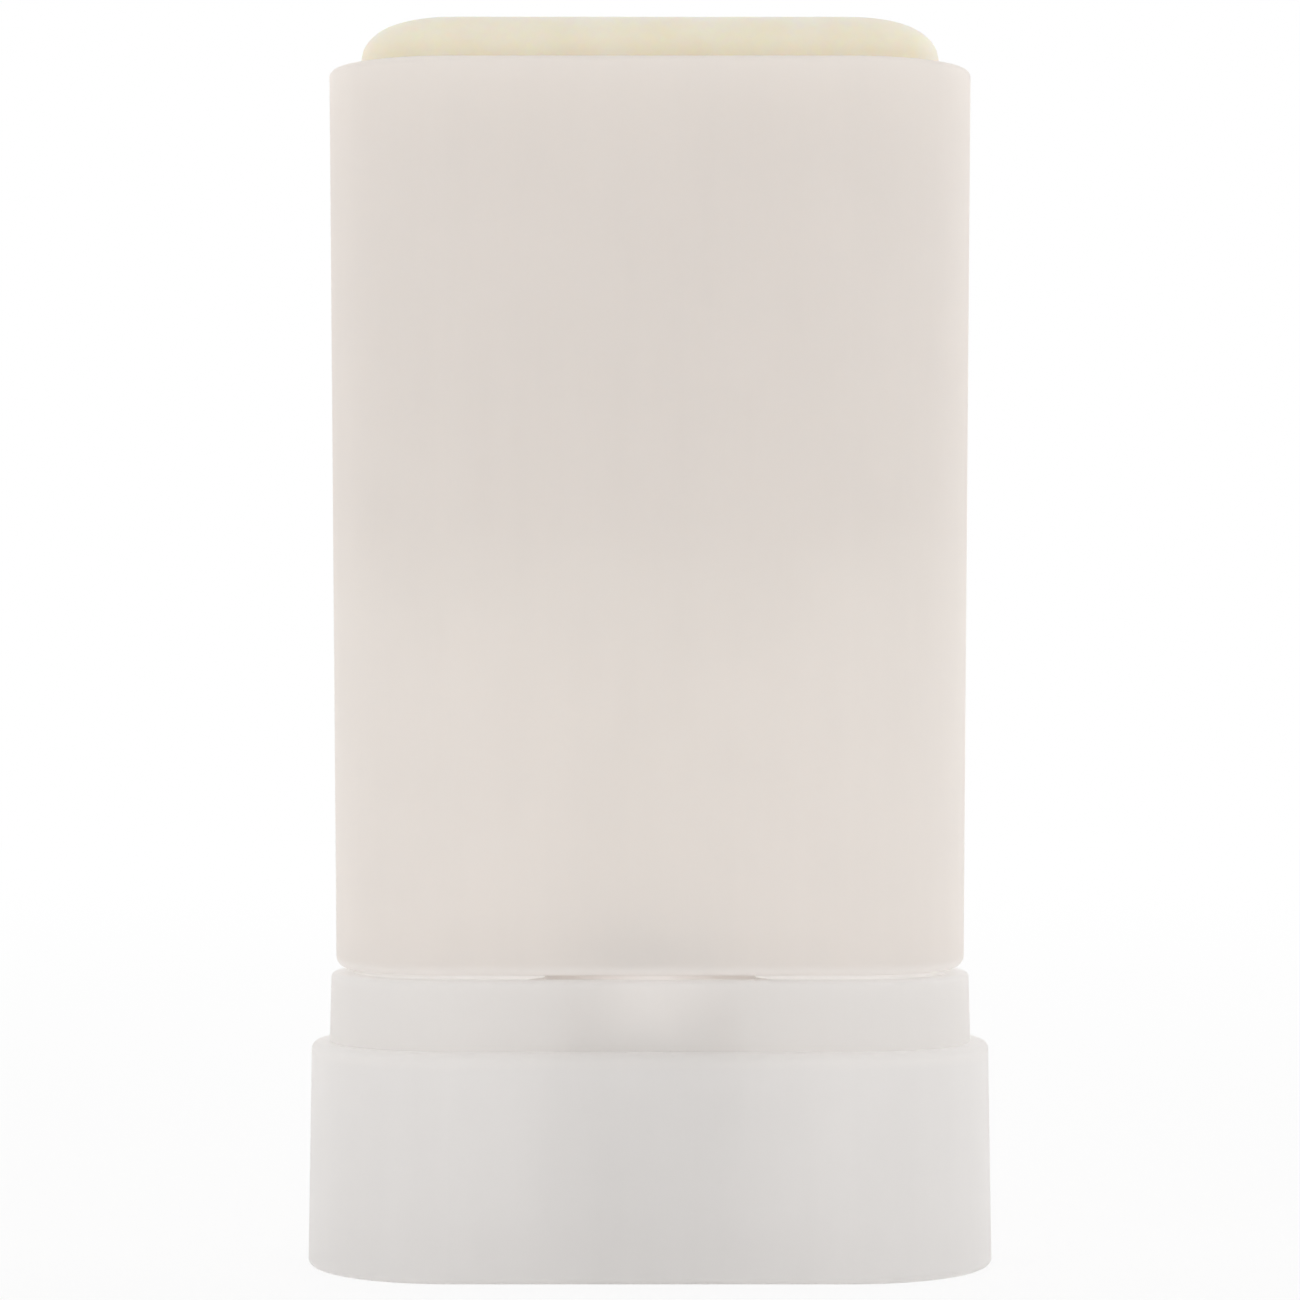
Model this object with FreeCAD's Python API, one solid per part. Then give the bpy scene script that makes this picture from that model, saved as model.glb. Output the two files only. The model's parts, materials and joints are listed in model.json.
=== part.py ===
import FreeCAD, Part
import math
import os

# Twist-up sunscreen stick of flat oval section, with its cap off, standing on its base.
# Millimetres, +Z up, X along the width and Y through the depth, with the front facing -Y.
# The origin is the centre of the face that it stands on.
#
# How it works: the twist base turns under the barrel and carries the spindle with it. The
# spindle's left-hand thread lifts the elevator, which can't turn in the oval barrel, and the
# elevator carries the balm. The barrel's floor is held between the base and the spindle's flange.

Vector = FreeCAD.Vector
UP = Vector(0, 0, 1)

# Twist base: an oval cup, open at the top, with a skirt, a ledge for the cap and a collar
base_width = 41.0
base_depth = 17.6
skirt_height = 13.4
skirt_draft = 0.2
cap_ledge = 1.07
collar_height = 4.1
collar_draft = 0.11
collar_wall = 1.3
base_floor = 1.6
base_foot_round = 0.4
shoulder_round = 0.5
collar_round = 0.3

# Barrel: an oval tube that widens towards its rim, with a floor and a round neck under it
parting_gap = 0.25
barrel_setback = 0.29
barrel_height = 53.75
barrel_draft = 0.425
barrel_wall = 1.75
barrel_floor = 1.5
barrel_foot_round = 0.75
rim_round = 0.4
neck_length = 3.2
neck_clearance = 0.1

# Bearing ring and socket post inside the twist base: the neck turns in the ring and on the post.
# At the front and back the ring runs into the collar, whose wall is thinner there.
bearing_wall = 1.4
bearing_side_wall = 1.0
bearing_drop = 0.75
socket_wall = 1.5
socket_floor = 5.0

# Spindle: a threaded rod with a thrust flange, a journal in the neck and a hexagonal snap foot
flange_radius = 4.2
flange_thickness = 1.2
flange_play = 0.1
journal_radius = 2.9
journal_clearance = 0.08
foot_corner_step = 0.15
foot_clearance = 0.05
snap_head_length = 1.4
snap_head_chamfer = 0.5

# Lifting thread: a rounded, left-hand thread made by a round rod whose centre winds about the
# axis. Left-handed, it raises the balm when the base turns positively about +Z.
thread_pitch = 4.5
thread_rod_radius = 2.3
thread_wind_radius = 0.45
thread_clearance = 0.25
nut_length = 8.0
thread_left_in_nut = 6.0

# Elevator: an oval platform with a short skirt and a closed hub tube that holds the nut thread
platform_thickness = 1.4
platform_skirt = 3.0
platform_skirt_wall = 1.0
platform_clearance = 0.2
platform_stop = 1.9
hub_wall = 1.1
hub_relief = 0.15
hub_cap = 1.2
hub_gap = 0.35
rod_tip_gap = 0.6
anchor_radius = 1.3
anchor_height = 6.0
anchor_offset = 11.0

# Balm: cast on the platform, with a crowned top that stands out of the rim
balm_height = 32.0
balm_stand_out = 3.1
balm_clearance = 0.15
balm_cast_gap = 0.05
crown_height = 2.7
crown_flat_radius = 0.6
crown_fullness = 2.4
crown_steps = 8

# Length of the straight sides, the same in every oval, so that all walls stay parallel
straight_length = base_width - base_depth

# Heights of the faces that meet
collar_top = skirt_height + collar_height
barrel_bottom = collar_top + parting_gap
barrel_floor_top = barrel_bottom + barrel_floor
rim_height = barrel_bottom + barrel_height
neck_bottom = barrel_bottom - neck_length
bearing_top = collar_top - bearing_drop
flange_bottom = barrel_floor_top + flange_play
flange_top = flange_bottom + flange_thickness
foot_bottom = base_floor + socket_floor
balm_top = rim_height + balm_stand_out
platform_top = balm_top - balm_height
lift_travel = rim_height - platform_stop - platform_top
hub_bottom = flange_top + hub_gap
nut_top = hub_bottom + nut_length
rod_top = hub_bottom + lift_travel + thread_left_in_nut
hub_bore_top = rod_top + rod_tip_gap
hub_top = hub_bore_top + hub_cap

# How far each oval lies inside the outline of the base's foot
collar_foot_inset = skirt_draft + cap_ledge
collar_top_inset = collar_foot_inset + collar_draft
barrel_foot_inset = collar_top_inset + barrel_setback

# Radii that fit one another; the neck is as large as the collar's depth lets it be
base_radius = base_depth / 2
bearing_radius = base_radius - collar_top_inset - bearing_side_wall
neck_radius = bearing_radius - neck_clearance
foot_corner_radius = journal_radius - foot_corner_step
pocket_radius = journal_radius + foot_clearance
nut_rod_radius = thread_rod_radius + thread_clearance
hub_bore_radius = nut_rod_radius + thread_wind_radius + hub_relief
hub_radius = hub_bore_radius + hub_wall


def oval_wire(inset, height):
    """Outline of the oval section at a height, a distance inside the base's foot outline."""
    radius = base_radius - inset
    end = straight_length / 2
    front_left = Vector(-end, -radius, height)
    front_right = Vector(end, -radius, height)
    back_right = Vector(end, radius, height)
    back_left = Vector(-end, radius, height)
    right_tip = Vector(end + radius, 0, height)
    left_tip = Vector(-end - radius, 0, height)
    edges = [
        Part.makeLine(front_left, front_right),
        Part.Arc(front_right, right_tip, back_right).toShape(),
        Part.makeLine(back_right, back_left),
        Part.Arc(back_left, left_tip, front_left).toShape(),
    ]
    return Part.Wire(edges)


def oval_block(low_inset, high_inset, low, high):
    """Solid between two oval outlines, with drafted walls where the insets differ."""
    return Part.makeLoft([oval_wire(low_inset, low), oval_wire(high_inset, high)], True, True)


def rounded_at(shape, height, radius):
    """The shape with the edges that lie in one level plane rounded."""
    same_plane = 0.001
    edges = []
    for edge in shape.Edges:
        box = edge.BoundBox
        if abs(box.ZMin - height) < same_plane and abs(box.ZMax - height) < same_plane:
            edges.append(edge)
    return shape.makeFillet(radius, edges)


def upright_cylinder(radius, low, high):
    return Part.makeCylinder(radius, high - low, Vector(0, 0, low), UP)


def turned(outline):
    """Solid of revolution about Z from the (radius, height) corners of its half section."""
    corners = [Vector(radius, 0, height) for radius, height in outline + outline[:1]]
    return Part.Face(Part.makePolygon(corners)).revolve(Vector(0, 0, 0), UP, 360)


def hexagon_prism(corner_radius, low, high):
    corners = []
    for turn in range(7):
        angle = math.radians(60 * turn)
        x = corner_radius * math.cos(angle)
        y = corner_radius * math.sin(angle)
        corners.append(Vector(x, y, low))
    face = Part.Face(Part.makePolygon(corners))
    return face.extrude(Vector(0, 0, high - low))


def barrel_inset(height):
    """Inset of the barrel's outer wall, which leans outwards as it rises."""
    return barrel_foot_inset - barrel_draft * (height - barrel_bottom) / barrel_height


def barrel_space(clearance, low, high):
    """What fills the barrel's inside between two heights, clear of its wall."""
    low_inset = barrel_inset(low) + barrel_wall + clearance
    high_inset = barrel_inset(high) + barrel_wall + clearance
    return oval_block(low_inset, high_inset, low, high)


def wound_rod(radius, low, high):
    """Round rod whose centre winds left-handed about the axis, in phase with the spindle's."""
    turns_below = math.ceil((flange_bottom - low) / thread_pitch)
    start = flange_bottom - turns_below * thread_pitch
    helix = Part.makeHelix(thread_pitch, high - start, thread_wind_radius, 0.0, True)
    section = Part.makeCircle(radius, Vector(thread_wind_radius, 0, 0), UP)
    sweep = Part.BRepOffsetAPI.MakePipeShell(Part.Wire(helix.Edges))
    sweep.setTrihedronMode(Vector(0, 0, 0), UP)
    sweep.add(Part.Wire([section]), False, False)
    sweep.build()
    sweep.makeSolid()
    rod = sweep.shape()
    rod.translate(Vector(0, 0, start))
    return rod


def make_twist_base():
    skirt = oval_block(0, skirt_draft, 0, skirt_height)
    skirt = rounded_at(skirt, 0, base_foot_round)
    skirt = rounded_at(skirt, skirt_height, shoulder_round)
    collar = oval_block(collar_foot_inset, collar_top_inset, skirt_height, collar_top)
    collar = rounded_at(collar, collar_top, collar_round)
    boss = upright_cylinder(bearing_radius + bearing_wall, base_floor, bearing_top)
    cup_inset = collar_top_inset + collar_wall
    hollow = oval_block(cup_inset, cup_inset, base_floor, collar_top).cut(boss)
    socket_post = upright_cylinder(pocket_radius + socket_wall, base_floor, neck_bottom)
    bearing = upright_cylinder(bearing_radius, base_floor, collar_top).cut(socket_post)
    socket = hexagon_prism(foot_corner_radius + foot_clearance, foot_bottom, neck_bottom)
    pocket = upright_cylinder(pocket_radius, foot_bottom - foot_clearance,
                              foot_bottom + snap_head_length + foot_clearance)
    return skirt.fuse(collar).cut(hollow).cut(bearing).cut(socket).cut(pocket)


def make_barrel():
    outside = oval_block(barrel_foot_inset, barrel_inset(rim_height), barrel_bottom, rim_height)
    outside = rounded_at(outside, barrel_bottom, barrel_foot_round)
    outside = rounded_at(outside, rim_height, rim_round)
    inside = barrel_space(0, barrel_floor_top, rim_height)
    neck = upright_cylinder(neck_radius, neck_bottom, barrel_floor_top - barrel_floor / 2)
    bore = upright_cylinder(journal_radius + journal_clearance, neck_bottom, barrel_floor_top)
    return outside.cut(inside).fuse(neck).cut(bore)


def make_spindle():
    rod = wound_rod(thread_rod_radius, flange_bottom, rod_top)
    flange = upright_cylinder(flange_radius, flange_bottom, flange_top)
    journal = upright_cylinder(journal_radius, neck_bottom, flange_bottom)
    foot = hexagon_prism(foot_corner_radius, foot_bottom + snap_head_chamfer, neck_bottom)
    head = turned([
        (0, foot_bottom),
        (journal_radius - snap_head_chamfer, foot_bottom),
        (journal_radius, foot_bottom + snap_head_chamfer),
        (journal_radius, foot_bottom + snap_head_length),
        (0, foot_bottom + snap_head_length),
    ])
    return rod.fuse(flange).fuse(journal).fuse(foot).fuse(head)


def make_anchor_posts(growth):
    """The two posts that lock the balm to the platform, or the holes that they make in it."""
    posts = []
    for side in (-1, 1):
        position = Vector(side * anchor_offset, 0, platform_top)
        posts.append(Part.makeCylinder(anchor_radius + growth, anchor_height + growth, position, UP))
    return posts


def make_elevator():
    platform = barrel_space(platform_clearance, platform_top - platform_skirt, platform_top)
    under_plate = platform_top - platform_thickness
    hollow_clearance = platform_clearance + platform_skirt_wall
    hollow = barrel_space(hollow_clearance, platform_top - platform_skirt, under_plate)
    hub = upright_cylinder(hub_radius, hub_bottom, hub_top)
    bore = upright_cylinder(hub_bore_radius, nut_top, hub_bore_top)
    body = platform.cut(hollow).fuse([hub] + make_anchor_posts(0))
    nut_thread = wound_rod(nut_rod_radius, hub_bottom, nut_top)
    return body.cut(bore).cut(nut_thread)


def make_crown(foot):
    """The balm's rounded top: ovals stacked along a superellipse, from its edge to its flat."""
    edge_inset = barrel_inset(foot) + barrel_wall + balm_clearance
    run = base_radius - edge_inset - crown_flat_radius
    outlines = []
    for step in range(crown_steps + 1):
        angle = math.pi / 2 * step / crown_steps
        inset = edge_inset + run * (1 - math.cos(angle) ** (2 / crown_fullness))
        height = foot + crown_height * math.sin(angle) ** (2 / crown_fullness)
        outlines.append(oval_wire(inset, height))
    return Part.makeLoft(outlines, True, True)


def make_balm():
    crown_foot = balm_top - crown_height
    sides = barrel_space(balm_clearance, platform_top, crown_foot)
    hub_hole = upright_cylinder(hub_radius + balm_cast_gap, platform_top, hub_top + balm_cast_gap)
    return sides.fuse(make_crown(crown_foot)).cut([hub_hole] + make_anchor_posts(balm_cast_gap))


def main():
    os.makedirs("parts", exist_ok=True)
    nodes = {
        "twist_base": make_twist_base(),
        "barrel": make_barrel(),
        "spindle": make_spindle(),
        "elevator": make_elevator(),
        "balm": make_balm(),
    }
    for name, shape in nodes.items():
        shape.exportStep(os.path.join("parts", name + ".step"))
        box = shape.BoundBox
        size = (round(box.XLength, 2), round(box.YLength, 2), round(box.ZLength, 2))
        print(name, "solids", len(shape.Solids), "valid", shape.isValid(), "volume", round(shape.Volume), size)


main()
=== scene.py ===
"""Twist-up sunscreen stick with its cap off: moulded finishes, the cast balm and a plain studio."""

import json
import math
from collections import namedtuple

import bmesh
import bpy
from bpy.props import FloatProperty, FloatVectorProperty, IntProperty, PointerProperty
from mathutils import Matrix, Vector, noise


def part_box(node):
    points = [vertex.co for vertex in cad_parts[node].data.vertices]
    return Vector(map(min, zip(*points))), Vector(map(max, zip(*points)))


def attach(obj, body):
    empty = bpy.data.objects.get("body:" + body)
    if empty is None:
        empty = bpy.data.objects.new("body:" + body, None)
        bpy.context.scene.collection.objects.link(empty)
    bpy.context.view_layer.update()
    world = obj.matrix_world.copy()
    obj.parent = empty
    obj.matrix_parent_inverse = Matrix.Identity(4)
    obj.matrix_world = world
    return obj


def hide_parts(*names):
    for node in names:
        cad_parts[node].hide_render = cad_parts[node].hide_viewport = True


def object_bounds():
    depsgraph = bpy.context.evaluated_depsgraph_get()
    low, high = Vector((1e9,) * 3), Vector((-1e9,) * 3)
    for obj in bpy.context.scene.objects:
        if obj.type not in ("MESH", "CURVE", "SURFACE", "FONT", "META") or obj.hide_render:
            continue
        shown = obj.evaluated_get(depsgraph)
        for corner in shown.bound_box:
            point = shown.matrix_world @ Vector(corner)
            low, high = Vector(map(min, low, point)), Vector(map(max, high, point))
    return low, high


bl_info = {
    "name": "Sunscreen Stick",
    "version": (1, 0, 0),
    "blender": (4, 5, 0),
    "location": "3D View > Sidebar > Sunscreen Stick",
    "description": "Builds a flat-oval twist-up sunscreen stick around its CAD frame",
    "category": "Add Mesh",
}

MM = 0.001
PER_METRE = 1000.0
WHITE = (1.0, 1.0, 1.0, 1.0)

# The frame: the CAD box, the balm's box, and the heights that the looks are set out from
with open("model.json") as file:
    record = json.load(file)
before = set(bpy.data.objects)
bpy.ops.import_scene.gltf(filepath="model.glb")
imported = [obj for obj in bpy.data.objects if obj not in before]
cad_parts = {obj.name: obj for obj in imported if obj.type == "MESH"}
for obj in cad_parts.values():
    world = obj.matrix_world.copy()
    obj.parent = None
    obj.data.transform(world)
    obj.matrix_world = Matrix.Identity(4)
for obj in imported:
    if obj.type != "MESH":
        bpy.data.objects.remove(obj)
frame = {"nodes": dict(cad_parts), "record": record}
cad_low, cad_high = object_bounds()
balm_low, balm_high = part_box("balm")
base_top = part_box("twist_base")[1].z
rim_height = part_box("barrel")[1].z
hub_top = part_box("elevator")[1].z
mounts = {mount["name"]: mount for mount in frame["record"]["mounts"]}
ledge_height = mounts["cap_seat"]["pos_m"][2]

# A zone of a moulding has its own colour and share of light through. It starts at one height, in
# metres, and is full at another.
Zone = namedtuple("Zone", "starts full light_through colour")
COLLAR_STARTS = ledge_height - 1.1 * MM
COLLAR_FULL = ledge_height - 0.5 * MM
FOOT_STARTS = base_top + 1.0 * MM
FOOT_FULL = base_top + 0.1 * MM

# Plastic: how far its mottling and its gloss vary, and how high its surface swells
PLASTIC_IOR = 1.6
MOTTLING = 0.01
GLOSS_VARIES = 0.03
SWELL = 0.02 * MM
STREAK_SCALE = (0.5, 0.5, 0.045)

# Balm: tints of its clouds, painted shade on its sides inside the barrel, and how light spreads in it
WAX_IOR = 1.44
WAX_ROUGHNESS = (0.34, 0.42)
DARK_CLOUD = (0.985, 0.975, 0.95)
LIGHT_CLOUD = (1.01, 1.015, 1.04)
# Painted shade: the sides inside the barrel are tinted darker and greyer, fully from 5 mm below the rim,
# fading out 0.3 mm above it
SHADED_SIDE_TINT = (0.89, 0.86, 0.87)
SHADE_BELOW_RIM = 5.0 * MM
SHADE_ENDS_ABOVE_RIM = 0.3 * MM
SPREAD_COLOUR = (1.0, 0.75, 0.4)
SPREAD_DEPTH = 1.5 * MM
PORE_DEPTH = 0.004 * MM

# The balm's mesh: its sides narrow towards the platform as the barrel does
SIDE_DRAFT = 0.0079
SIDE_RINGS = 30
CROWN_RINGS = 26
FLAT_RINGS = 7
SIDE_STEPS = 90
HOLE_STEPS = 64
CUT_PAST = 1.0 * MM
SHARP_EDGE = math.radians(40)

# Wear on the crown: how far either side of the crown's foot it fades in, the share of it that is
# broad, and how fine the broad and the small hollows are along x, y and z
WEAR_FADE = 1.0 * MM
BROAD_WEAR = 0.7
BROAD_WEAR_SCALE = (0.13, 0.3, 0.3)
SMALL_WEAR_SCALE = (0.6, 0.7, 0.7)
SMALL_WEAR_SHIFT = 7.0

# Lamps: each lights a white surface that faces it at the target to its level
Lamp = namedtuple("Lamp", "name place width height level")
LAMP_TARGET = Vector((0, 0, 0.04))
LAMPS = (
    Lamp("Left soft box", (-0.4, 0.2, 0.14), 0.4, 0.4, 0.23),
    Lamp("Right soft box", (0.4, 0.2, 0.14), 0.4, 0.4, 0.29),
    Lamp("Top soft box", (0, -0.12, 0.5), 0.5, 0.4, 0.27),
    Lamp("Front left soft box", (-0.45, -0.45, 0.08), 0.3, 0.16, 0.125),
    Lamp("Front right soft box", (0.45, -0.45, 0.08), 0.3, 0.16, 0.125),
    Lamp("Back soft box", (0, 0.5, 0.15), 0.6, 0.4, 0.32),
)

# Floor: a share of it is seen as plain white, which is smaller near the stick, so that the stick's
# shadow shows there
FLOOR_HALF_WIDTH = 4.0
FLOOR_GAP = 0.02 * MM
FLOOR_COLOUR = (0.96, 0.96, 0.96, 1.0)
FLOOR_REACH = (0.05, 0.5)
FLOOR_WHITE = (0.84, 1.0)

SENSOR_WIDTH = 36.0
CAMERA_SHIFT = -0.01
CAMERA_CLIP = 0.01


def colour_property(name, description, default):
    return FloatVectorProperty(
        name=name, description=description, default=default, size=3, min=0.0, max=1.0, subtype="COLOR"
    )


def length_property(name, description, default):
    return FloatProperty(
        name=name, description=description, default=default, min=0.0, unit="LENGTH", precision=5
    )


def share_property(name, description, default):
    return FloatProperty(
        name=name, description=description, default=default, min=0.0, max=1.0, subtype="FACTOR"
    )


class BaseFinish(bpy.types.PropertyGroup):
    """Finish of the twist base's moulding."""

    colour: colour_property("Colour", "Colour of the base's plastic", (0.939, 0.928, 0.919))
    roughness: share_property("Roughness", "How matt the base's satin surface is", 0.34)
    light_through: share_property("Light through", "Share of light that passes each face", 0.46)
    grain: length_property("Grain height", "Height of the fine mould grain", 0.004 * MM)
    collar_colour: colour_property("Collar colour", "Colour of the thin collar", (0.959, 0.949, 0.939))
    collar_light_through: share_property("Light through collar", "Share that passes each face", 0.6)


class BarrelFinish(bpy.types.PropertyGroup):
    """Finish of the barrel's frosted moulding."""

    colour: colour_property("Colour", "Colour of the barrel's frosted plastic", (0.961, 0.938, 0.921))
    warmth: colour_property("Warmth", "Tint of the light that passes the wall", (1.0, 0.99, 0.968))
    roughness: share_property("Roughness", "How matt the barrel's surface is", 0.34)
    light_through: share_property("Light through", "Share of light that passes each face", 0.42)
    grain: length_property("Grain height", "Height of the fine mould grain", 0.003 * MM)
    foot_colour: colour_property("Foot colour", "Colour of the thick foot and neck", (0.985, 0.955, 0.935))
    foot_light_through: share_property("Light through foot", "Share that passes each face", 0.02)


class MechanismFinish(bpy.types.PropertyGroup):
    """Finish of the spindle and the elevator inside the barrel."""

    spindle_colour: colour_property("Spindle colour", "Colour of the spindle", (0.985, 0.952, 0.87))
    elevator_colour: colour_property("Elevator colour", "Colour of the elevator", (0.985, 0.952, 0.87))
    roughness: share_property("Roughness", "How matt the mechanism's surface is", 0.36)
    light_through: share_property("Light through", "Share of light that passes each face", 0.1)
    grain: length_property("Grain height", "Height of the fine mould grain", 0.003 * MM)


class BalmShape(bpy.types.PropertyGroup):
    """Shape and colour of the cast balm."""

    colour: colour_property("Colour", "Colour of the balm", (0.895, 0.835, 0.69))
    crown_height: length_property("Crown height", "Height of the rounded top", 2.7 * MM)
    flat_radius: length_property("Flat top's end radius", "End radius of the flat on top", 0.6 * MM)
    crown_fullness: FloatProperty(
        name="Crown fullness", description="How square the rounding is", default=2.4, min=1.0, max=4.0
    )
    wear: length_property("Wear", "How far the crown is worn in unevenly", 0.03 * MM)
    hub_radius: length_property("Hub hole radius", "Radius of the hole for the hub", 4.3 * MM)
    cast_gap: length_property("Cast gap", "Gap over the hub's top", 0.05 * MM)
    anchor_radius: length_property("Anchor hole radius", "Radius of the holes for the posts", 1.35 * MM)
    anchor_offset: length_property("Anchor offset", "From the middle to each anchor hole", 11.0 * MM)
    anchor_depth: length_property("Anchor hole depth", "Height of the anchor holes", 6.05 * MM)
    outline_steps: IntProperty(
        name="Outline steps", description="Points round each half-round end", default=48, min=8, max=200
    )


class StudioSetup(bpy.types.PropertyGroup):
    """Camera and fill light."""

    camera_distance: length_property("Camera distance", "From the lens to the stick's middle", 244 * MM)
    camera_height: length_property("Camera height", "Height of the level camera", 37.57 * MM)
    focal_length: FloatProperty(
        name="Focal length", description="Lens of the camera in millimetres", default=112.4, min=20.0
    )
    fill: FloatProperty(name="Fill", description="Level of the soft light all round", default=0.48, min=0.0)


def add(tree, kind, inputs, **settings):
    """A new shader node with its settings, and its inputs set to values or linked to sockets."""
    made = tree.nodes.new(kind)
    for name, value in settings.items():
        setattr(made, name, value)
    for key, value in inputs.items():
        if isinstance(value, bpy.types.NodeSocket):
            tree.links.new(value, made.inputs[key])
        else:
            made.inputs[key].default_value = value
    return made


def vector_maths(tree, operation, inputs):
    return add(tree, "ShaderNodeVectorMath", inputs, operation=operation).outputs[0]


def maths(tree, operation, first, second):
    return add(tree, "ShaderNodeMath", {0: first, 1: second}, operation=operation).outputs[0]


def noise_field(tree, place, scale, detail, roughness):
    """Smooth noise over a place in millimetres."""
    inputs = {"Vector": place, "Scale": scale, "Detail": detail, "Roughness": roughness}
    return add(tree, "ShaderNodeTexNoise", inputs).outputs["Fac"]


def spread(tree, value, start, end, low=0.0, high=1.0, curve="LINEAR"):
    """Maps a value's span from start to end onto the span from low to high, and holds it beyond."""
    inputs = {"Value": value, "From Min": start, "From Max": end, "To Min": low, "To Max": high}
    return add(tree, "ShaderNodeMapRange", inputs, interpolation_type=curve).outputs["Result"]


def mix_colour(tree, share, first, second, blend_type="MIX"):
    inputs = {0: share, 6: first, 7: second}
    return add(tree, "ShaderNodeMix", inputs, data_type="RGBA", blend_type=blend_type).outputs[2]


def mix_shader(tree, share, first, second):
    return add(tree, "ShaderNodeMixShader", {0: share, 1: first, 2: second}).outputs[0]


def tinted(colour, tint):
    """A colour times a tint, with full alpha."""
    return (*(part * share for part, share in zip(colour, tint)), 1.0)


def seen_by(tree, *rays):
    """1 where a ray of one of the named kinds arrives, and 0 elsewhere."""
    path = add(tree, "ShaderNodeLightPath", {})
    seen = path.outputs[rays[0]]
    for ray in rays[1:]:
        seen = maths(tree, "MAXIMUM", seen, path.outputs[ray])
    return seen


def new_material(name):
    material = bpy.data.materials.new(name)
    material.use_nodes = True
    material.node_tree.nodes.clear()
    return material


def place_in_millimetres(tree):
    """The place on the piece in millimetres, and its height."""
    place = add(tree, "ShaderNodeTexCoord", {}).outputs["Object"]
    place = vector_maths(tree, "SCALE", {0: place, "Scale": PER_METRE})
    return place, add(tree, "ShaderNodeSeparateXYZ", {0: place}).outputs["Z"]


def plastic(name, colour, roughness, light_through, grain, zone=None, warmth=None):
    """Satin moulded plastic: mottling and flow streaks, fine mould grain, and light through it."""
    material = new_material(name)
    tree = material.node_tree
    place, height = place_in_millimetres(tree)
    passing = light_through
    tint = colour
    if zone:
        inside = spread(tree, height, zone.starts * PER_METRE, zone.full * PER_METRE, curve="SMOOTHSTEP")
        passing = spread(tree, inside, 0.0, 1.0, light_through, zone.light_through)
        tint = mix_colour(tree, inside, (*colour, 1.0), (*zone.colour, 1.0))

    mottling = noise_field(tree, place, scale=0.16, detail=3.0, roughness=0.5)
    along = vector_maths(tree, "MULTIPLY", {0: place, 1: STREAK_SCALE})
    streaks = noise_field(tree, along, scale=1.0, detail=4.0, roughness=0.55)
    both = maths(tree, "ADD", mottling, streaks)
    level = spread(tree, both, 0.7, 1.3, 1.0 - MOTTLING, 1.0 + MOTTLING)
    mottled = vector_maths(tree, "SCALE", {0: tint, "Scale": level})

    gloss = noise_field(tree, place, scale=0.35, detail=2.0, roughness=0.5)
    matt = spread(tree, gloss, 0.3, 0.7, roughness - GLOSS_VARIES, roughness + GLOSS_VARIES)
    wave = noise_field(tree, place, scale=0.12, detail=1.0, roughness=0.4)
    swell = add(tree, "ShaderNodeBump", {"Height": wave, "Distance": SWELL}).outputs[0]
    fine = noise_field(tree, place, scale=7.0, detail=2.0, roughness=0.6)
    bump = add(tree, "ShaderNodeBump", {"Height": fine, "Distance": grain, "Normal": swell}).outputs[0]
    surface = add(tree, "ShaderNodeBsdfPrincipled", {
        "Base Color": mottled, "Roughness": matt, "IOR": PLASTIC_IOR, "Normal": bump,
    }).outputs[0]
    if warmth:
        mottled = mix_colour(tree, 1.0, mottled, (*warmth, 1.0), "MULTIPLY")
    through = add(tree, "ShaderNodeBsdfTranslucent", {"Color": mottled}).outputs[0]
    add(tree, "ShaderNodeOutputMaterial", {"Surface": mix_shader(tree, passing, surface, through)})
    return material


def wax(name, colour):
    """Waxy balm: clouds in its colour, painted shade on the sides below the rim, fine pores and soft light
    in it.
    """
    material = new_material(name)
    tree = material.node_tree
    place, height = place_in_millimetres(tree)
    cloud = spread(tree, noise_field(tree, place, scale=0.22, detail=4.0, roughness=0.55), 0.36, 0.66)
    clouded = mix_colour(tree, cloud, tinted(colour, DARK_CLOUD), tinted(colour, LIGHT_CLOUD))
    # Painted shade: the sides below the rim are multiplied by a darker, greyer tint
    side = mix_colour(tree, 1.0, clouded, (*SHADED_SIDE_TINT, 1.0), "MULTIPLY")
    # worn is 1 on the top above the rim, which keeps the balm's own clouded colour, and 0 on the sides with
    # the painted shade
    shade_full_to = (rim_height - SHADE_BELOW_RIM) * PER_METRE
    shade_gone_from = (rim_height + SHADE_ENDS_ABOVE_RIM) * PER_METRE
    worn = spread(tree, height, shade_full_to, shade_gone_from, curve="SMOOTHSTEP")

    smear = noise_field(tree, place, scale=0.5, detail=2.0, roughness=0.5)
    pores = noise_field(tree, place, scale=2.5, detail=3.0, roughness=0.6)
    surface = add(tree, "ShaderNodeBsdfPrincipled", {
        "Base Color": mix_colour(tree, worn, side, clouded),
        "Roughness": spread(tree, smear, 0.3, 0.7, *WAX_ROUGHNESS),
        "IOR": WAX_IOR,
        "Subsurface Weight": 1.0,
        "Subsurface Radius": SPREAD_COLOUR,
        "Subsurface Scale": SPREAD_DEPTH,
        "Normal": add(tree, "ShaderNodeBump", {"Height": pores, "Distance": PORE_DEPTH}).outputs[0],
    }).outputs[0]
    add(tree, "ShaderNodeOutputMaterial", {"Surface": surface})
    return material


def dress(name, material):
    """Gives a CAD node its finished material."""
    for slot in frame["nodes"][name].material_slots:
        slot.material = material


class FinishBase(bpy.types.Operator):
    """Gives the twist base its satin white plastic."""

    bl_idname = "sunscreen_stick.finish_base"
    bl_label = "Finish Twist Base"

    def execute(self, context):
        finish = context.scene.stick_base
        collar = Zone(COLLAR_STARTS, COLLAR_FULL, finish.collar_light_through, finish.collar_colour)
        dress("twist_base", plastic(
            "Base plastic", finish.colour, finish.roughness, finish.light_through, finish.grain, zone=collar
        ))
        return {"FINISHED"}


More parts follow.
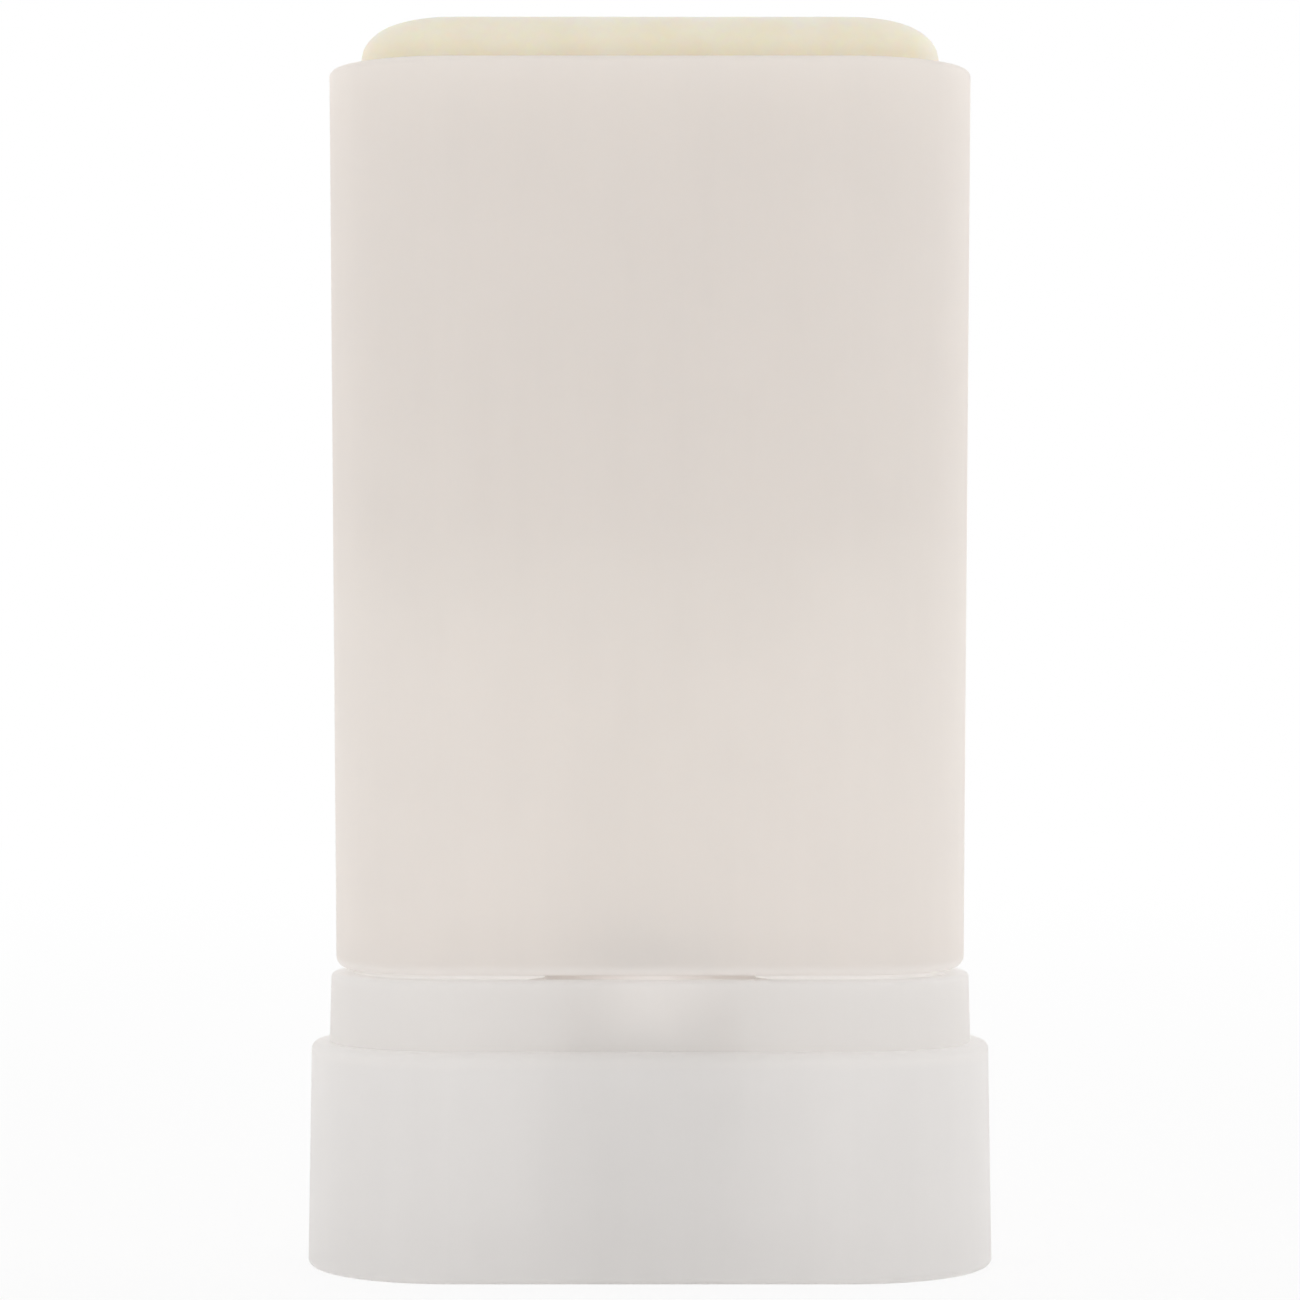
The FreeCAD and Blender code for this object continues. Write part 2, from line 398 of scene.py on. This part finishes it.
class FinishBarrel(bpy.types.Operator):
    """Gives the barrel its frosted plastic, with a thicker foot and neck that let little light through."""

    bl_idname = "sunscreen_stick.finish_barrel"
    bl_label = "Finish Barrel"

    def execute(self, context):
        finish = context.scene.stick_barrel
        foot = Zone(FOOT_STARTS, FOOT_FULL, finish.foot_light_through, finish.foot_colour)
        dress("barrel", plastic(
            "Barrel plastic", finish.colour, finish.roughness, finish.light_through, finish.grain,
            zone=foot, warmth=finish.warmth
        ))
        return {"FINISHED"}


class FinishMechanism(bpy.types.Operator):
    """Gives the spindle and the elevator their plain white plastic."""

    bl_idname = "sunscreen_stick.finish_mechanism"
    bl_label = "Finish Mechanism"

    def execute(self, context):
        finish = context.scene.stick_mechanism
        for name, colour in (("spindle", finish.spindle_colour), ("elevator", finish.elevator_colour)):
            dress(name, plastic(
                f"{name.capitalize()} plastic", colour, finish.roughness, finish.light_through, finish.grain
            ))
        return {"FINISHED"}


def oval_points(radius, half_straight, end_steps):
    """Points round an oval of two straight sides and two half-round ends, from the front's left."""
    points = []
    for way in (1, -1):
        for step in range(SIDE_STEPS):
            points.append((way * half_straight * (2 * step / SIDE_STEPS - 1), -way * radius))
        for step in range(end_steps):
            angle = math.pi * (step / end_steps - 0.5)
            points.append((way * (half_straight + radius * math.cos(angle)), way * radius * math.sin(angle)))
    return points


def balm_rings(shape, radius, crown_foot):
    """End radius and height of each ring, up the sides, over the crown and in over the flat top."""
    rings = []
    for step in range(SIDE_RINGS):
        height = balm_low.z + (crown_foot - balm_low.z) * step / SIDE_RINGS
        rings.append((radius - SIDE_DRAFT * (crown_foot - height), height))
    power = 2 / shape.crown_fullness
    for step in range(CROWN_RINGS + 1):
        angle = math.pi / 2 * step / CROWN_RINGS
        inset = (radius - shape.flat_radius) * (1 - max(0.0, math.cos(angle)) ** power)
        rings.append((radius - inset, crown_foot + shape.crown_height * math.sin(angle) ** power))
    for step in range(1, FLAT_RINGS):
        rings.append((shape.flat_radius * (1 - step / FLAT_RINGS), balm_high.z))
    return rings


def unevenness(place, scale, shift):
    """Smooth noise from 0 to 1 over a place in millimetres, scaled by axis and shifted along x."""
    scaled = [part * factor for part, factor in zip(place, scale)]
    return 0.5 + 0.5 * noise.noise(Vector(scaled) + Vector((shift, 0, 0)))


def wear_in(mesh, crown_foot, depth):
    """Wears the crown in unevenly along its normals, fading in round the crown's foot."""
    for vert in mesh.verts:
        above = vert.co.z - (crown_foot - WEAR_FADE)
        share = min(1.0, max(0.0, above / (2 * WEAR_FADE)))
        place = vert.co * PER_METRE
        broad = unevenness(place, BROAD_WEAR_SCALE, 0.0)
        small = unevenness(place, SMALL_WEAR_SCALE, SMALL_WEAR_SHIFT)
        worn = share * depth * (BROAD_WEAR * broad + (1 - BROAD_WEAR) * small)
        vert.co -= vert.normal * worn


def cut_hole(piece, x, radius, low, high):
    """Cuts an upright round hole into a piece."""
    mesh = bmesh.new()
    bmesh.ops.create_cone(
        mesh, cap_ends=True, segments=HOLE_STEPS, radius1=radius, radius2=radius, depth=high - low
    )
    bmesh.ops.translate(mesh, verts=mesh.verts, vec=(x, 0, (low + high) / 2))
    data = bpy.data.meshes.new("hole")
    mesh.to_mesh(data)
    mesh.free()
    cutter = bpy.data.objects.new("hole", data)
    bpy.context.scene.collection.objects.link(cutter)
    modifier = piece.modifiers.new("hole", "BOOLEAN")
    modifier.operation = "DIFFERENCE"
    modifier.solver = "EXACT"
    modifier.object = cutter
    evaluated = piece.evaluated_get(bpy.context.evaluated_depsgraph_get())
    whole = piece.data
    piece.data = bpy.data.meshes.new_from_object(evaluated)
    piece.modifiers.clear()
    bpy.data.meshes.remove(whole)
    bpy.data.objects.remove(cutter)
    bpy.data.meshes.remove(data)


class CastBalm(bpy.types.Operator):
    """Casts the balm on the platform, with a rounded and slightly worn top."""

    bl_idname = "sunscreen_stick.cast_balm"
    bl_label = "Cast Balm"

    def execute(self, context):
        shape = context.scene.stick_balm
        radius = (balm_high.y - balm_low.y) / 2
        half_straight = (balm_high.x - balm_low.x) / 2 - radius
        crown_foot = balm_high.z - shape.crown_height
        mesh = bmesh.new()
        loops = []
        for ring_radius, height in balm_rings(shape, radius, crown_foot):
            outline = oval_points(ring_radius, half_straight, shape.outline_steps)
            loops.append([mesh.verts.new((x, y, height)) for x, y in outline])
        for lower, upper in zip(loops, loops[1:]):
            for i in range(len(lower)):
                j = (i + 1) % len(lower)
                mesh.faces.new((lower[i], lower[j], upper[j], upper[i]))
        mesh.faces.new(list(reversed(loops[0])))
        mesh.faces.new(loops[-1])
        bmesh.ops.recalc_face_normals(mesh, faces=mesh.faces)
        mesh.normal_update()
        wear_in(mesh, crown_foot, shape.wear)
        data = bpy.data.meshes.new("balm_cast")
        mesh.to_mesh(data)
        mesh.free()
        piece = bpy.data.objects.new("balm_cast", data)
        context.scene.collection.objects.link(piece)

        below = balm_low.z - CUT_PAST
        anchor_top = balm_low.z + shape.anchor_depth
        cut_hole(piece, 0.0, shape.hub_radius, below, hub_top + shape.cast_gap)
        for side in (-1, 1):
            cut_hole(piece, side * shape.anchor_offset, shape.anchor_radius, below, anchor_top)
        piece.data.name = "balm_cast"
        for polygon in piece.data.polygons:
            polygon.use_smooth = True
        piece.data.set_sharp_from_angle(angle=SHARP_EDGE)
        piece.data.materials.append(wax("Balm wax", shape.colour))
        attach(piece, "lift")
        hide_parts("balm")
        return {"FINISHED"}


def set_lamp(lamp):
    """Adds a soft box that lights the stick but doesn't show, also not in reflections."""
    data = bpy.data.lights.new(lamp.name, "AREA")
    data.shape = "RECTANGLE"
    data.size = lamp.width
    data.size_y = lamp.height
    way = LAMP_TARGET - Vector(lamp.place)
    data.energy = lamp.level * math.pi**2 * way.length_squared
    piece = bpy.data.objects.new(lamp.name, data)
    piece.location = lamp.place
    piece.rotation_euler = way.to_track_quat("-Z", "Y").to_euler()
    piece.visible_camera = False
    piece.visible_glossy = False
    bpy.context.scene.collection.objects.link(piece)


def set_world(fill):
    """A white surround where it is seen, which lights the stick at the level of the fill."""
    world = bpy.data.worlds.new("White surround")
    world.cycles.sampling_method = "NONE"
    world.use_nodes = True
    tree = world.node_tree
    tree.nodes.clear()
    seen = seen_by(tree, "Is Camera Ray", "Is Glossy Ray", "Is Transmission Ray")
    soft = add(tree, "ShaderNodeBackground", {"Color": WHITE, "Strength": fill}).outputs[0]
    white = add(tree, "ShaderNodeBackground", {"Color": WHITE, "Strength": 1.0}).outputs[0]
    add(tree, "ShaderNodeOutputWorld", {"Surface": mix_shader(tree, seen, soft, white)})
    return world


def lay_floor():
    """A wide pale floor just under the stick, which takes its shadow."""
    mesh = bmesh.new()
    bmesh.ops.create_grid(mesh, x_segments=4, y_segments=4, size=FLOOR_HALF_WIDTH)
    data = bpy.data.meshes.new("floor")
    mesh.to_mesh(data)
    mesh.free()
    floor = bpy.data.objects.new("floor", data)
    floor.location.z = cad_low.z - FLOOR_GAP
    bpy.context.scene.collection.objects.link(floor)

    material = new_material("Floor")
    tree = material.node_tree
    place = add(tree, "ShaderNodeTexCoord", {}).outputs["Object"]
    reach = add(tree, "ShaderNodeVectorMath", {0: place}, operation="LENGTH").outputs["Value"]
    white = spread(tree, reach, *FLOOR_REACH, *FLOOR_WHITE, curve="SMOOTHSTEP")
    share = maths(tree, "MULTIPLY", seen_by(tree, "Is Camera Ray", "Is Glossy Ray"), white)
    matt = add(tree, "ShaderNodeBsdfDiffuse", {"Color": FLOOR_COLOUR}).outputs[0]
    lit = add(tree, "ShaderNodeEmission", {"Color": WHITE, "Strength": 1.0}).outputs[0]
    add(tree, "ShaderNodeOutputMaterial", {"Surface": mix_shader(tree, share, matt, lit)})
    data.materials.append(material)


def set_camera(setup):
    """A level camera in front of the stick."""
    data = bpy.data.cameras.new("Camera")
    data.lens = setup.focal_length
    data.sensor_width = SENSOR_WIDTH
    data.shift_y = CAMERA_SHIFT
    data.clip_start = CAMERA_CLIP
    camera = bpy.data.objects.new("Camera", data)
    camera.location = (0, -setup.camera_distance, setup.camera_height)
    camera.rotation_euler = (math.pi / 2, 0, 0)
    bpy.context.scene.collection.objects.link(camera)
    return camera


class SetStudio(bpy.types.Operator):
    """Puts the stick in a plain white studio: floor, soft lamps and a level camera."""

    bl_idname = "sunscreen_stick.set_studio"
    bl_label = "Set Studio"

    def execute(self, context):
        setup = context.scene.stick_studio
        scene = context.scene
        scene.world = set_world(setup.fill)
        lay_floor()
        for lamp in LAMPS:
            set_lamp(lamp)
        scene.camera = set_camera(setup)
        scene.view_settings.view_transform = "Standard"
        scene.cycles.diffuse_bounces = 12
        scene.cycles.transmission_bounces = 16
        scene.cycles.max_bounces = 20
        return {"FINISHED"}


# Each operator with the name and the class of its settings
STEPS = (
    (FinishBase, "stick_base", BaseFinish),
    (FinishBarrel, "stick_barrel", BarrelFinish),
    (FinishMechanism, "stick_mechanism", MechanismFinish),
    (CastBalm, "stick_balm", BalmShape),
    (SetStudio, "stick_studio", StudioSetup),
)


class StickPanel(bpy.types.Panel):
    """Lists the steps that build the stick, each with its settings."""

    bl_idname = "VIEW3D_PT_sunscreen_stick"
    bl_label = "Sunscreen Stick"
    bl_space_type = "VIEW_3D"
    bl_region_type = "UI"
    bl_category = "Sunscreen Stick"

    def draw(self, context):
        for operator, name, group in STEPS:
            box = self.layout.box()
            for setting in group.__annotations__:
                box.prop(getattr(context.scene, name), setting)
            box.operator(operator.bl_idname)


def register():
    for operator, name, group in STEPS:
        bpy.utils.register_class(group)
        setattr(bpy.types.Scene, name, PointerProperty(type=group))
        bpy.utils.register_class(operator)
    bpy.utils.register_class(StickPanel)


def unregister():
    bpy.utils.unregister_class(StickPanel)
    for operator, name, group in reversed(STEPS):
        bpy.utils.unregister_class(operator)
        delattr(bpy.types.Scene, name)
        bpy.utils.unregister_class(group)


def main():
    register()
    bpy.ops.sunscreen_stick.finish_base()
    bpy.ops.sunscreen_stick.finish_barrel()
    bpy.ops.sunscreen_stick.finish_mechanism()
    bpy.ops.sunscreen_stick.cast_balm()
    bpy.ops.sunscreen_stick.set_studio()


if __name__ == "__main__":
    main()
